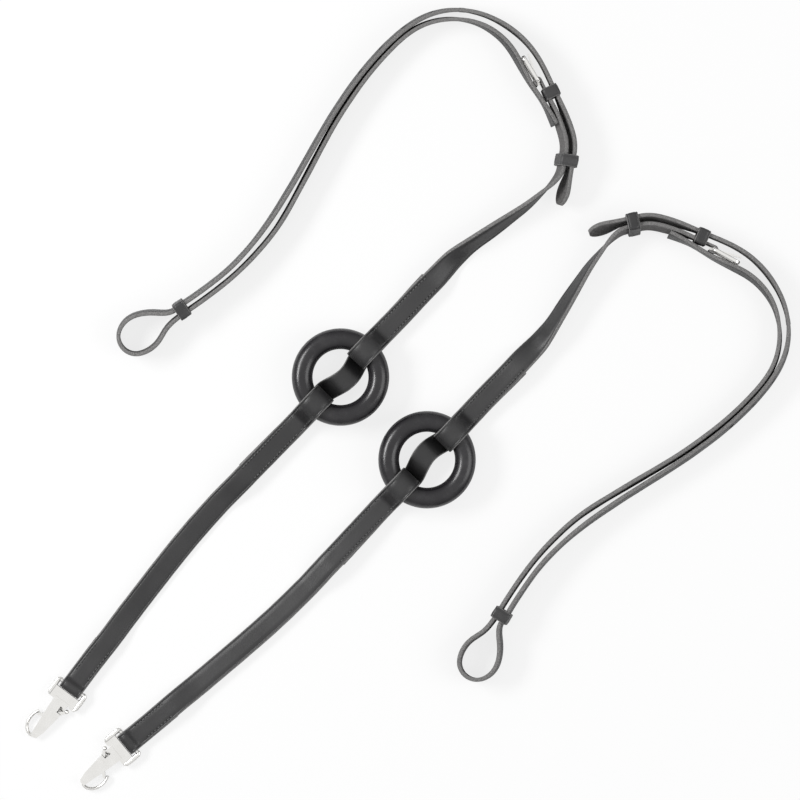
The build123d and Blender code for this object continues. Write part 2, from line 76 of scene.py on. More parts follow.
# %% Curves for the straps
def smooth(rows, step):
    """Natural cubic through rows of (x, y, more...), resampled at an even spacing in plan."""
    rows = np.array(rows, float)
    chords = np.hypot(*np.diff(rows[:, :2], axis=0).T)
    at = np.concatenate([[0.0], np.cumsum(chords)])
    last = len(at) - 1
    matrix, right = np.eye(last + 1), np.zeros_like(rows)
    for i in range(1, last):
        before, after = chords[i - 1], chords[i]
        matrix[i, i - 1:i + 2] = before, 2 * (before + after), after
        right[i] = 6 * ((rows[i + 1] - rows[i]) / after - (rows[i] - rows[i - 1]) / before)
    bend = np.linalg.solve(matrix, right)
    out = []
    for s in np.linspace(0, at[-1], int(round(at[-1] / step)) + 1):
        i = min(int(np.searchsorted(at, s, side="right")) - 1, last - 1)
        h = chords[i]
        a, b = (at[i + 1] - s) / h, (s - at[i]) / h
        curve = ((a ** 3 - a) * bend[i] + (b ** 3 - b) * bend[i + 1]) * h * h / 6
        out.append(a * rows[i] + b * rows[i + 1] + curve)
    return np.array(out)


def eased(value, start, end):
    u = min(1.0, max(0.0, (value - start) / (end - start)))
    return u * u * (3 - 2 * u)


STRAP_W, STRAP_T, SAFETY_W, SAFETY_T, SKIVED_T = 19.0, 3.2, 18.0, 2.4, 1.8
GAP = 0.15
RING = Vector((-48.6, -29.0, 15.437))
RING_R, RING_TUBE = 31.15, 16.7
FOLD_REACH, FOLD_R = 30.113, 11.287
TAIL_H = SAFETY_T + GAP + STRAP_T / 2
MAIN_H = TAIL_H + STRAP_T + GAP
RAISED = 3.5


def lay(stations, heights):
    """Places (centre, width direction) of a layer along stations of (x, y, roll, lift)."""
    places = []
    for i, (x, y, roll, lift) in enumerate(stations):
        before, after = stations[max(i - 1, 0)], stations[min(i + 1, len(stations) - 1)]
        travel = Vector((after[0] - before[0], after[1] - before[1], 0)).normalized()
        width = Z * cos(radians(roll)) + Z.cross(travel) * sin(radians(roll))
        normal = travel.cross(width)
        foot = lift + abs(width.z) * STRAP_W / 2 + max(0.0, -normal.z) * STRAP_T
        base = Vector((x, y, foot)) - Vector((normal.x, normal.y, 0)) * STRAP_T / 2
        places.append((base + normal * heights[i], width))
    return places


def level_fold(height, radius, end_height, drop, ease):
    """Side view (run, height) of a strap folded round a level bar and easing down to a height."""
    points = [(-radius * sin(pi * k / 20), height - radius * cos(pi * k / 20)) for k in range(21)]
    points += [(radius * sin(drop * k / 6), height + radius * cos(drop * k / 6)) for k in range(1, 7)]
    start_run, start_height = points[-1]
    fall = start_height - end_height - ease * (1 - cos(drop))
    foot_run, foot_height = start_run + fall / sin(drop) * cos(drop), start_height - fall
    for k in range(1, 6):
        points.append((start_run + (foot_run - start_run) * k / 6, start_height - fall * k / 6))
    for k in range(7):
        turn = drop * (1 - k / 6)
        points.append((foot_run + ease * (sin(drop) - sin(turn)),
                       foot_height - ease * (cos(turn) - cos(drop))))
    return points


def along(points, origin, heading):
    direction = Vector((cos(radians(heading)), sin(radians(heading)), 0))
    return [(origin + direction * run + Z * height, Z.cross(direction)) for run, height in points]


# %% [markdown]
# The stations of the three long straps, in millimetres and degrees.

# %% Routes of the straps
ring_route = smooth([
    (-48.6, 26, 90, 0), (-48.6, 38, 88, 0), (-49.4, 58, 82, 0), (-50.0, 78, 74, 0),
    (-49.0, 100, 58, 0), (-46.6, 120, 36, 0), (-42.4, 140, 29, 0), (-38.4, 160, 20, 0.3),
    (-35.0, 179, 11, 1.2), (-33.6, 196, 0, 2.4), (-33.3, 206, -8, RAISED),
    (-35.3, 215.5, -12, RAISED), (-40.3, 223.0, -12, RAISED), (-45.3, 230.5, -12, RAISED),
    (-52.2, 236.6, -12, RAISED), (-61.0, 241.6, -11, RAISED), (-71.0, 246.9, -6, RAISED),
    (-81.0, 251.2, 0, RAISED), (-91.0, 254.9, 0, RAISED)], 2.0)
SNAP = Vector((-32.0, -363.0, 5.05))
SNAP_TURN = 7.0
snap_x, snap_y = sin(radians(SNAP_TURN)), cos(radians(SNAP_TURN))
bit_route = smooth([
    (-48.6, -86, 90, 0), (-49.2, -100, 94, 0), (-49.9, -120, 99, 0), (-50.3, -140, 101, 0),
    (-49.8, -165, 101, 0), (-48.7, -200, 101, 0), (-45.6, -240, 101, 0), (-41.4, -280, 100, 0),
    (-37.3, -318, 97, 0), (-32.0 - 26 * snap_x, -363.0 + 26 * snap_y, 92, 0),
    (-32.0 - 14 * snap_x, -363.0 + 14 * snap_y, 90, 0)], 2.0)
billet_route = smooth([
    (-64.2, 239.4, -11, RAISED), (-73.0, 242.7, -6, RAISED), (-83.0, 245.8, -1, RAISED),
    (-92.5, 248.0, 0, RAISED), (-100.6, 249.8, -1, RAISED), (-110.0, 252.6, -4, RAISED),
    (-119.0, 255.6, -7, 2.6), (-130.0, 258.9, -8, 1.6), (-142.0, 260.6, -6, 0.8),
    (-155.0, 259.7, -3, 0.2), (-167.5, 255.8, 1, 0), (-178.0, 249.6, 5, 0), (-187.0, 241.6, 8, 0),
    (-194.5, 231.8, 9, 0), (-200.0, 220.0, 10, 0), (-203.0, 206.0, 10, 0), (-203.8, 189.0, 10, 0),
    (-203.2, 170.0, 10, 0), (-201.0, 150.0, 10, 0), (-197.6, 130.0, 10, 0), (-193.2, 110.0, 10, 0),
    (-188.0, 91.0, 10, 0), (-182.3, 71.0, 10, 0), (-177.0, 52.0, 9, 0), (-172.3, 34.0, 9, 0.2),
    (-169.3, 17.0, 8, 0.6), (-168.0, 0.0, 8, 1.2), (-167.8, -16.0, 8, 2.0), (-168.8, -33.0, 8, 3.0),
    (-171.2, -51.0, 8, RAISED), (-174.6, -69.3, 8, RAISED), (-178.0, -87.6, 8, RAISED),
    (-178.3, -98.5, 8, 2.6), (-175.9, -111.0, 8, 1.4), (-177.4, -122.5, 7, 0.6),
    (-183.3, -131.3, 4, 0.2), (-192.6, -134.2, 0, 0), (-201.5, -130.6, -4, 0.2),
    (-206.2, -122.3, -7, 0.6), (-206.0, -112.5, -8, 1.2), (-201.4, -103.3, -8, 1.9),
    (-194.8, -96.0, -8, 2.7), (-188.9, -90.8, -8, 3.3), (-184.5, -84.8, -8, RAISED),
    (-183.3, -78.6, -8, RAISED), (-181.1, -67.3, -8, RAISED), (-177.7, -49.0, -8, RAISED),
    (-175.4, -32.0, -8, 3.0), (-174.9, -13.0, -8, 2.0), (-176.0, 5.0, -8, 1.2),
    (-178.8, 25.0, -9, 0.6), (-183.0, 46.0, -10, 0.2), (-188.2, 68.0, -10, 0),
    (-193.8, 90.0, -10, 0), (-198.9, 111.0, -10, 0), (-203.0, 131.0, -10, 0),
    (-206.2, 151.0, -10, 0), (-208.1, 171.0, -10, 0), (-208.5, 190.0, -10, 0),
    (-207.3, 208.0, -10, 0), (-204.0, 224.0, -10, 0), (-197.8, 238.5, -9, 0),
    (-188.3, 250.8, -7, 0), (-176.0, 260.4, -4, 0), (-161.0, 267.4, -2, 0.2),
    (-145.5, 271.1, 0, 0.8), (-130.0, 272.1, 0, 1.6), (-115.0, 270.2, 0, 2.6),
    (-101.0, 266.0, 0, RAISED), (-87.0, 260.6, 0, RAISED), (-74.0, 255.2, 4, RAISED),
    (-62.5, 249.9, 9, RAISED), (-52.0, 244.3, 12, RAISED), (-45.0, 239.8, 12, RAISED),
    (-39.5, 234.4, 12, RAISED), (-34.5, 226.9, 12, RAISED), (-29.5, 219.4, 12, RAISED),
    (-25.0, 211.6, 20, 2.6), (-20.8, 203.6, 29, 1.4), (-16.6, 195.2, 33, 0.8)], 1.0)
print("stations:", len(ring_route), len(bit_route), len(billet_route))


# %% [markdown]
# Bridle leather has a smooth, waxed grain side, a hairy flesh side and raw edges where the fibres
# show lighter.  One material can draw all three if each point of a strap says which it is, so the
# meshes carry a value called side: 0 on the grain, 1 on the cut edge and 2 on the flesh.  Separate
# materials would leave a hard line along every edge.

# %% Materials: leather
def new_material(name):
    made = bpy.data.materials.new(name)
    made.use_nodes = True
    tree = made.node_tree
    return made, tree, tree.nodes["Principled BSDF"]


def add(tree, kind, inputs=None, **settings):
    node = tree.nodes.new(kind)
    for key, value in settings.items():
        setattr(node, key, value)
    for key, value in (inputs or {}).items():
        if hasattr(value, "is_output"):
            tree.links.new(value, node.inputs[key])
        else:
            node.inputs[key].default_value = value
    return node


def grain_noise(tree, scale, detail=3.0, rough=0.55, coords=None):
    coords = coords or add(tree, "ShaderNodeTexCoord").outputs["Object"]
    return add(tree, "ShaderNodeTexNoise",
               {"Vector": coords, "Scale": scale, "Detail": detail, "Roughness": rough})


def blend_colour(tree, factor, a, b):
    node = add(tree, "ShaderNodeMix", data_type="RGBA")
    for socket, value in ((node.inputs[0], factor), (node.inputs[6], a), (node.inputs[7], b)):
        if hasattr(value, "is_output"):
            tree.links.new(value, socket)
        else:
            socket.default_value = value
    return node.outputs[2]


def spread(tree, value, low, high, start, end):
    return add(tree, "ShaderNodeMapRange",
               {"Value": value, "From Min": low, "From Max": high, "To Min": start, "To Max": end}
               ).outputs["Result"]


def leather(name, grain, shine, wear):
    """Black bridle leather; wear lightens the flats of its grain side."""
    made, tree, shader = new_material(name)
    link = tree.links.new
    side = add(tree, "ShaderNodeAttribute", attribute_name="side").outputs["Fac"]
    broad = grain_noise(tree, 22, 4).outputs["Fac"]
    fine = grain_noise(tree, 900, 4, 0.7).outputs["Fac"]
    fibre = grain_noise(tree, 2100, 5, 0.75).outputs["Fac"]
    to_edge = spread(tree, side, 0.25, 0.8, 0.0, 1.0)
    to_flesh = spread(tree, side, 1.2, 1.8, 0.0, 1.0)
    worn = spread(tree, broad, 0.4, 0.75, 0.0, 1.0)
    top = blend_colour(tree, worn, (grain, grain * 0.98, grain * 1.02, 1),
                       (wear, wear * 0.98, wear, 1))
    cut = blend_colour(tree, spread(tree, fibre, 0.42, 0.62, 0.0, 1.0),
                       (0.07, 0.068, 0.068, 1), (0.34, 0.335, 0.33, 1))
    back = blend_colour(tree, spread(tree, fine, 0.35, 0.68, 0.0, 1.0),
                        (0.06, 0.058, 0.058, 1), (0.17, 0.165, 0.163, 1))
    link(blend_colour(tree, to_flesh, blend_colour(tree, to_edge, top, cut), back),
         shader.inputs["Base Color"])
    pores = add(tree, "ShaderNodeTexVoronoi",
                {"Vector": add(tree, "ShaderNodeTexCoord").outputs["Object"], "Scale": 1500.0})
    rough = add(tree, "ShaderNodeMath", {0: spread(tree, broad, 0.3, 0.7, shine, shine + 0.16),
                                         1: spread(tree, side, 0.2, 1.0, 0.0, 0.4)}, operation="ADD")
    link(rough.outputs[0], shader.inputs["Roughness"])
    shader.inputs["Specular IOR Level"].default_value = 0.55
    first = add(tree, "ShaderNodeBump", {"Height": pores.outputs["Distance"], "Strength": 0.35,
                                         "Distance": 0.00012})
    second = add(tree, "ShaderNodeBump", {"Height": fine, "Strength": 0.5, "Distance": 0.0002,
                                          "Normal": first.outputs["Normal"]})
    third = add(tree, "ShaderNodeBump", {"Height": broad, "Strength": 0.35, "Distance": 0.0012,
                                         "Normal": second.outputs["Normal"]})
    link(third.outputs["Normal"], shader.inputs["Normal"])
    return made


BRIDLE = leather("black_bridle_leather", 0.016, 0.36, 0.03)
SAFETY = leather("black_safety_leather", 0.010, 0.32, 0.018)
KEEPER = leather("black_keeper_leather", 0.018, 0.34, 0.04)


# %% [markdown]
# The rings are moulded black rubber with a smooth skin; the hardware is plated with bright nickel;
# the thread is waxed black linen.  All are drawn by noise in the object's own space, so that they
# stay still on the piece when it moves.

# %% Materials: rubber, nickel, thread, painted hole shade
def rubber():
    made, tree, shader = new_material("black_moulded_rubber")
    dust = grain_noise(tree, 60, 6, 0.7).outputs["Fac"]
    fine = grain_noise(tree, 700, 3).outputs["Fac"]
    colour = blend_colour(tree, spread(tree, dust, 0.45, 0.8, 0.0, 1.0),
                          (0.010, 0.009, 0.011, 1), (0.030, 0.029, 0.031, 1))
    tree.links.new(colour, shader.inputs["Base Color"])
    tree.links.new(spread(tree, dust, 0.3, 0.75, 0.2, 0.36), shader.inputs["Roughness"])
    bump = add(tree, "ShaderNodeBump", {"Height": fine, "Strength": 0.25, "Distance": 0.0001})
    tree.links.new(bump.outputs["Normal"], shader.inputs["Normal"])
    return made


def metal(name, tone, low, high):
    made, tree, shader = new_material(name)
    cloud = grain_noise(tree, 120, 5, 0.65).outputs["Fac"]
    pits = grain_noise(tree, 1800, 2).outputs["Fac"]
    shader.inputs["Metallic"].default_value = 1.0
    colour = blend_colour(tree, cloud, (tone * 0.86, tone * 0.85, tone * 0.82, 1),
                          (tone, tone * 0.99, tone * 0.97, 1))
    tree.links.new(colour, shader.inputs["Base Color"])
    tree.links.new(spread(tree, cloud, 0.35, 0.7, low, high), shader.inputs["Roughness"])
    bump = add(tree, "ShaderNodeBump", {"Height": pits, "Strength": 0.12, "Distance": 0.0001})
    tree.links.new(bump.outputs["Normal"], shader.inputs["Normal"])
    return made


def waxed_thread():
    made, tree, shader = new_material("waxed_black_thread")
    coords = add(tree, "ShaderNodeTexCoord").outputs["Object"]
    twist = add(tree, "ShaderNodeTexWave", {"Vector": coords, "Scale": 900.0, "Distortion": 2.0})
    colour = blend_colour(tree, twist.outputs["Fac"], (0.03, 0.03, 0.031, 1), (0.12, 0.12, 0.12, 1))
    tree.links.new(colour, shader.inputs["Base Color"])
    shader.inputs["Roughness"].default_value = 0.5
    return made


# Painted shade: near black for the insides of the awl holes and the billet's holes, which are not cut.
def hole_shade_material():
    made, tree, shader = new_material("painted_hole_shade")
    shade = grain_noise(tree, 1500, 2).outputs["Fac"]
    tree.links.new(blend_colour(tree, shade, (0.003, 0.003, 0.003, 1), (0.009, 0.009, 0.009, 1)),
                   shader.inputs["Base Color"])
    shader.inputs["Roughness"].default_value = 0.9
    return made


RUBBER = rubber()
NICKEL = metal("bright_nickel_plate", 0.86, 0.10, 0.24)
SPRING = metal("plain_spring_steel", 0.55, 0.22, 0.38)
THREAD, HOLE = waxed_thread(), hole_shade_material()


# %% [markdown]
# A piece is drawn once in millimetres, for the left rein.  Two meshes are made from it, the second
# with X turned over and its faces recalculated so that they look outwards again.

# %% From points to a pair of meshes
def pair(name, points, faces, material, side=None):
    """Left and right objects from points in mm; side is the leather's value for each point."""
    made = []
    for which in SIDES:
        sign = 1 if which == "left" else -1
        mesh = bpy.data.meshes.new(f"{which}_{name}")
        mesh.from_pydata([(sign * x * MM, (y + TO_MIDDLE) * MM, z * MM) for x, y, z in points],
                         [], faces)
        work = bmesh.new()
        work.from_mesh(mesh)
        bmesh.ops.recalc_face_normals(work, faces=work.faces)
        work.to_mesh(mesh)
        work.free()
        mesh.polygons.foreach_set("use_smooth", [True] * len(mesh.polygons))
        if side is not None:
            mesh.attributes.new("side", "FLOAT", "POINT").data.foreach_set("value", side)
        mesh.materials.append(material)
        thing = bpy.data.objects.new(f"{which}_{name}", mesh)
        bpy.context.scene.collection.objects.link(thing)
        made.append(thing)
    return made


def wobble(point, size, amount):
    """A small steady unevenness, the same for the same point of the left rein."""
    return amount * noise.noise(Vector(point) / size)


def strap_outline(width, thick, crease):
    """Section of a strap as (across, out, side), grain side first; crease is its depth or 0."""
    half, flat = width / 2, thick / 2
    r = min(0.95, 0.42 * thick, 0.45 * width)
    rows = [(-half + r, flat, 0.25)]
    inner = max(half - 2.2, 0.6 * half)
    small = min(1.0, half / 6)
    if crease:
        for sign in (-1, 1):
            marks = [(sign * (inner + d * small), flat - dip * small, 0.0) for d, dip in
                     ((0.55, -0.02), (0.22, crease * 0.7), (0.0, crease), (-0.25, crease * 0.6),
                      (-0.7, -0.06))]
            rows += marks if sign < 0 else marks[::-1]
            if sign < 0:
                rows += [(u * inner, flat + 0.06, 0.0) for u in (-0.5, 0.0, 0.5)]
    else:
        rows += [(u * half, flat, 0.0) for u in (-0.6, -0.2, 0.2, 0.6)]
    rows.append((half - r, flat, 0.25))
    for k in range(1, 6):
        turn = pi / 2 * (1 - k / 3)
        tall = flat - r
        rows.append((half - r + r * cos(turn), tall * np.sign(sin(turn)) + r * sin(turn), 1.0))
    rows.append((half - r, -flat, 1.5))
    rows += [(u * half, -flat, 2.0) for u in (0.6, 0.2, -0.2, -0.6)]
    rows.append((-half + r, -flat, 1.5))
    for k in range(1, 6):
        turn = -pi / 2 * (1 - k / 3)
        rows.append((-half + r - r * cos(turn), tall * np.sign(sin(turn)) + r * sin(turn), 1.0))
    return rows


def frames_of(places):
    """(centre, travel, across, normal) of each place."""
    out = []
    for i, (centre, width) in enumerate(places):
        ahead = places[min(i + 1, len(places) - 1)][0]
        behind = places[max(i - 1, 0)][0]
        travel = (ahead - behind).normalized()
        across = (width - travel * width.dot(travel)).normalized()
        out.append((centre, travel, across, travel.cross(across)))
    return out


def strap(name, places, thick, widths, material, grain=1, crease=0.32, uneven=0.10):
    """A leather strap through its places.  grain says which way along the normal the grain is."""
    points, faces, side = [], [], []
    for (centre, _, across, normal), t, w in zip(frames_of(places), thick, widths):
        outline = strap_outline(w, t, crease)
        for u, n, value in outline:
            spot = centre + across * u
            lift = wobble(spot, 14.0, uneven) + (wobble(spot, 2.3, 0.05) if value == 1.0 else 0)
            points.append(centre + across * u * (1 + wobble(centre, 9.0, 0.008))
                          + normal * grain * (n + lift))
            side.append(value)
    ring = len(outline)
    for i in range(len(places) - 1):
        for j in range(ring):
            k = (j + 1) % ring
            faces.append((i * ring + j, i * ring + k, (i + 1) * ring + k, (i + 1) * ring + j))
    for start, centre in ((0, places[0][0]), (len(points) - ring, places[-1][0])):
        points.append(centre)
        side.append(1.0)
        hub = len(points) - 1
        faces += [(start + j, start + (j + 1) % ring, hub) for j in range(ring)]
    return pair(name, points, faces, material, side)


def ride_and_replace(pieces, body, *nodes, slot=None):
    for which, piece in zip(SIDES, pieces):
        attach(piece, f"{which}_{body}")
        if nodes:
            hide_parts(*[f"{which}_{node}" for node in nodes])


# %% [markdown]
# The ring strap is folded round the rubber ring, with its turned-back end sewn under it, and at
# the other end it is pared thin and folded round the buckle's heel bar.

# %% Ring strap
BUCKLE_TURN = 165.0
HEEL = Vector((-98.8, 255.0, RAISED + STRAP_W / 2))
heel_r = 1.5 + GAP + SKIVED_T / 2
ring_axis = Vector((RING.x, RING.y + FOLD_REACH, 0))
bit_axis = Vector((RING.x, RING.y - FOLD_REACH, 0))
under = [(run, TAIL_H) for run in (20, 16, 12, 8, 4)]
fold_line = level_fold(RING.z, FOLD_R, MAIN_H, radians(62), 8.0)

ring_sewn = [row for row in ring_route if row[1] <= 70]
ring_tail = lay(ring_sewn, [TAIL_H] * len(ring_sewn))
ring_heights = [MAIN_H + (STRAP_T / 2 - MAIN_H) * eased(row[1], 74, 106) for row in ring_route]
ring_main = lay(ring_route, ring_heights)
inward = Vector((cos(radians(BUCKLE_TURN)), sin(radians(BUCKLE_TURN)), 0))
outward = inward.cross(Z)
heel = [(HEEL + (outward * cos(pi * k / 14) + inward * sin(pi * k / 14)) * heel_r, Z)
        for k in range(15)]
heel.append((heel[-1][0] - inward * 3.0, Z))
ring_places = ring_tail[::-1] + along(under + fold_line, ring_axis, 90) + ring_main + heel
count = len(ring_places) - len(heel)
ring_thick = [STRAP_T] * (count - 5) + [3.0, 2.7, 2.4, 2.1, 1.9] + [SKIVED_T] * len(heel)
ring_strap = strap("ring_strap_leather", ring_places, ring_thick, [STRAP_W] * len(ring_places), BRIDLE)
ride_and_replace(ring_strap, "rein", "ring_strap", slot="black_leather")
print("ring strap:", len(ring_places), "sections")


# %% [markdown]
# The bit strap is the same, but folded round the eye of the snap hook at its far end.

# %% Bit strap
snap_fold_r = 1.7 + GAP + STRAP_T / 2
snap_z = STRAP_T / 2 + snap_fold_r
double_h = 1.5 * STRAP_T + GAP
bit_sewn = [row for row in bit_route if row[1] >= -130]
bit_tail = lay(bit_sewn, [TAIL_H] * len(bit_sewn))
tail_start = SNAP.y + 44.0
bit_heights = []
for row in bit_route:
    down = eased(-row[1], 142, 174)
    up = eased(-row[1], -tail_start - 32, -tail_start)
    height = MAIN_H + (STRAP_T / 2 - MAIN_H) * down
    bit_heights.append(height + (double_h - STRAP_T / 2) * up)
bit_main = lay(bit_route, bit_heights)
snap_fold = [(point, -left) for point, left in
             along(level_fold(snap_z, snap_fold_r, double_h, radians(40), 6.0),
                   Vector((SNAP.x, SNAP.y, 0)), 90 + SNAP_TURN)]
turned = [row for row in bit_route if row[1] <= tail_start]
snap_tail = lay(turned, [STRAP_T / 2] * len(turned))
bit_places = (bit_tail[::-1] + along(under + fold_line, bit_axis, -90) + bit_main
              + snap_fold[::-1] + snap_tail[::-1])
bit_strap = strap("bit_strap_leather", bit_places, [STRAP_T] * len(bit_places),
                  [STRAP_W] * len(bit_places), BRIDLE)
ride_and_replace(bit_strap, "bit_end", "bit_strap", slot="black_leather")


# %% [markdown]
# The safety strap is sewn under both folds and arches slackly up through the ring.

# %% Safety strap
left_way = Vector((-1, 0, 0))
upper = [row for row in ring_route if row[1] <= 78]
lower = [row for row in bit_route if row[1] >= -138]
half_t = SAFETY_T / 2
safety_places = lay(upper, [half_t] * len(upper))[::-1]
arch = smooth([(0, 16, half_t, 0), (0, 8, half_t, 0), (0, 0, half_t, 0), (0, -6, half_t, 0),
               (0.6, -9.5, 1.7, 0), (1.5, -13, 4.2, 0), (2.9, -17.5, 8.0, 0), (4.0, -23, 11.4, 0),
               (3.9, -29.5, 12.6, 0), (2.4, -36, 11.0, 0), (0.4, -42, 7.2, 0),
               (-0.9, -46.5, 3.8, 0), (-1.2, -50, 1.7, 0), (-0.9, -54.2, half_t, 0),
               (-0.4, -60.2, half_t, 0), (0, -68.2, half_t, 0), (0, -76.2, half_t, 0)], 1.5)
safety_places += [(Vector((ring_axis.x + x, ring_axis.y + y, max(z, half_t))), left_way)
                  for x, y, z, _ in arch]
safety_places += [(point, -width) for point, width in lay(lower, [half_t] * len(lower))]
safety = strap("safety_strap_leather", safety_places, [SAFETY_T] * len(safety_places),
               [SAFETY_W] * len(safety_places), SAFETY, grain=-1, crease=0.0)
for which, piece, sign in zip(SIDES, safety, (1, -1)):
    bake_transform(piece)
    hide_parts(f"{which}_safety_strap")


# %% [markdown]
# The billet is the long adjusting strap.  Its point is cut round and it is punched with a row of
# holes.  The strap lies on edge, so a hole is seen only from the side; the holes are not cut here,
# and a near-black cup with a slightly raised rim, painted shade, draws each end of one.

# %% Billet strap with its holes
billet_places = lay(list(billet_route), [STRAP_T / 2] * len(billet_route))
steps = [(billet_places[i + 1][0] - billet_places[i][0]).length
         for i in range(len(billet_places) - 1)]
to_tip = np.concatenate([np.cumsum(steps[::-1])[::-1], [0.0]])
POINT = 17.0
kept = [i for i in range(len(billet_places)) if i % 2 == 0 or to_tip[i] < 24]
widths = []
for i in kept:
    back = min(1.0, (to_tip[i] + 0.6) / (POINT + 0.6))
    widths.append(STRAP_W * sqrt(1 - (1 - back) ** 2))
billet = strap("billet_strap_leather", [billet_places[i] for i in kept], [STRAP_T] * len(kept),
               widths, BRIDLE, grain=-1)
HOLE_R, FIRST_HOLE, PITCH, HOLES = 2.25, 103.0, 25.0, 9


def settle(thing):
    """Replaces the object's mesh with what its modifiers make of it."""
    shown = thing.evaluated_get(bpy.context.evaluated_depsgraph_get())
    mesh = bpy.data.meshes.new_from_object(shown)
    thing.modifiers.clear()
    thing.data = mesh


def hole_shade_cups():
    """A shallow near-black cup at both ends of each hole: painted shade of the hole's inside."""
    points, faces = [], []
    for k in range(HOLES):
        i = int(np.argmin(abs(to_tip - (FIRST_HOLE + k * PITCH))))
        centre, width = billet_places[i]
        travel = (billet_places[i + 1][0] - billet_places[i - 1][0]).normalized()
        normal = travel.cross(width)
        for end in (-1, 1):
            base = len(points)
            for out, r in ((0.0, HOLE_R * 0.9), (0.14, HOLE_R + 0.3), (0.24, HOLE_R), (0.1, 0.1)):
                for j in range(20):
                    turn = 2 * pi * j / 20
                    points.append(centre + normal * end * (STRAP_T / 2 + out)
                                  + (travel * cos(turn) + width * sin(turn)) * r)
            for row in range(3):
                for j in range(20):
                    h = (j + 1) % 20
                    faces.append((base + 20 * row + j, base + 20 * row + h,
                                  base + 20 * row + 20 + h, base + 20 * row + 20 + j))
            faces += [tuple(base + j for j in range(20)), tuple(base + 60 + j for j in range(20))]
    return pair("billet_hole_mouths", points, faces, HOLE)


ride_and_replace(billet, "rein", "billet_strap", slot="black_leather")
ride_and_replace(hole_shade_cups(), "rein")


# %% [markdown]
# A keeper is a short band of leather closed into a flat loop.  The sliding ones have a divider so
# that each strand runs in its own slot.  A box with holes would look like a block, so the band's
# own section, with its pressed lines and cut edges, is swept round a rounded oblong.

# %% Keepers
def rounded_oblong(half_u, half_n, radius, per_corner=7):
    """Points (u, n) and outward directions round an oblong."""
    out = []
    for corner, (su, sn) in enumerate(((1, 1), (-1, 1), (-1, -1), (1, -1))):
        for k in range(per_corner):
            turn = pi / 2 * (corner + k / (per_corner - 1))
            facing = (cos(turn), sin(turn))
            out.append(((su * (half_u - radius) + radius * facing[0],
                         sn * (half_n - radius) + radius * facing[1]), facing))
    full = []
    for i, (spot, facing) in enumerate(out):
        full.append((spot, facing))
        after, after_facing = out[(i + 1) % len(out)]
        gap = sqrt((after[0] - spot[0]) ** 2 + (after[1] - spot[1]) ** 2)
        for k in range(1, int(gap / 1.6)):
            f = k / int(gap / 1.6)
            full.append(((spot[0] + (after[0] - spot[0]) * f, spot[1] + (after[1] - spot[1]) * f),
                         facing))
    return full


def band_outline(length, wall):
    """Section of the band as (along the strap, out, side)."""
    half, r = length / 2, wall * 0.42
    rows = [(-half + r, wall / 2, 0.3),
            (-half + 1.2, wall / 2 + 0.05, 0), (-half + 1.5, wall / 2 - 0.22, 0),
            (-half + 1.9, wall / 2 + 0.05, 0), (-half * 0.3, wall / 2 + 0.12, 0),
            (half * 0.3, wall / 2 + 0.12, 0), (half - 1.9, wall / 2 + 0.05, 0),
            (half - 1.5, wall / 2 - 0.22, 0), (half - 1.2, wall / 2 + 0.05, 0),
            (half - r, wall / 2, 0.3)]
    rows += [(half - r + r * cos(a), r * sin(a), 1.0) for a in (0.9, 0.3, -0.3, -0.9)]
    rows += [(half - r, -wall / 2, 1.5), (0, -wall / 2, 2.0), (-half + r, -wall / 2, 1.5)]
    rows += [(-half + r - r * cos(a), r * sin(a), 1.0) for a in (-0.9, -0.3, 0.3, 0.9)]
    return rows


def keeper(name, x, y, heading, roll, slots, material=KEEPER, length=10.0, wall=1.5):
    """A band round upright straps; each slot is (spacing from the first strap, room)."""
    play = 0.4              # room over each edge of the strap
    travel = Vector((cos(radians(heading)), sin(radians(heading)), 0))
    width = Z * cos(radians(roll)) + Z.cross(travel) * sin(radians(roll))
    normal = travel.cross(width)
    height = RAISED + STRAP_W / 2 * width.z + STRAP_T / 2 * abs(sin(radians(roll)))
    origin = Vector((x, y, height))
    spots = [(-gap * sin(radians(roll)), gap * cos(radians(roll)), room) for gap, room in slots]
    low = min(n - room / 2 for _, n, room in spots) - wall
    high = max(n + room / 2 for _, n, room in spots) + wall
    ups = [u for u, _, _ in spots]
    half_u = STRAP_W / 2 + play + wall / 2 + (max(ups) - min(ups)) / 2
    middle = Vector(((max(ups) + min(ups)) / 2, (low + high) / 2))
    path = rounded_oblong(half_u, (high - low - wall) / 2, 1.5)
    outline = band_outline(length, wall)
    points, faces, side = [], [], []
    for (u, n), facing in path:
        for run, out, value in outline:
            soft = wobble((u + x, n + y, run), 3.2, 0.28) if value < 1 else 0
            spot_u = middle.x + u + facing[0] * (out + soft)
            spot_n = middle.y + n + facing[1] * (out + soft)
            points.append(origin + width * spot_u + normal * spot_n + travel * run)
            side.append(value)
    ring, total = len(outline), len(path)
    for i in range(total):
        for j in range(ring):
            k, h = (j + 1) % ring, (i + 1) % total
            faces.append((i * ring + j, i * ring + k, h * ring + k, h * ring + j))
    if len(spots) > 1:
        (u0, n0, room0), (u1, n1, _) = spots
        thick = abs(n1 - n0) - room0
        rows = [(-1, -1), (-1, 1), (1, 1), (1, -1)]
        base = len(points)
        for k in range(9):
            u = (u0 + u1) / 2 + (half_u - 0.6) * (k / 4 - 1)
            for run, out in rows:
                points.append(origin + width * u + travel * run * (length / 2 - 0.5)
                              + normal * ((n0 + n1) / 2 + out * thick / 2))
                side.append(1.0)
        for k in range(8):
            for j in range(4):
                h = (j + 1) % 4
                near = base + 4 * k
                faces.append((near + j, near + h, near + 4 + h, near + 4 + j))
        faces += [tuple(base + j for j in range(4)), tuple(base + 32 + j for j in range(4))]
    return pair(name, points, faces, material, side)


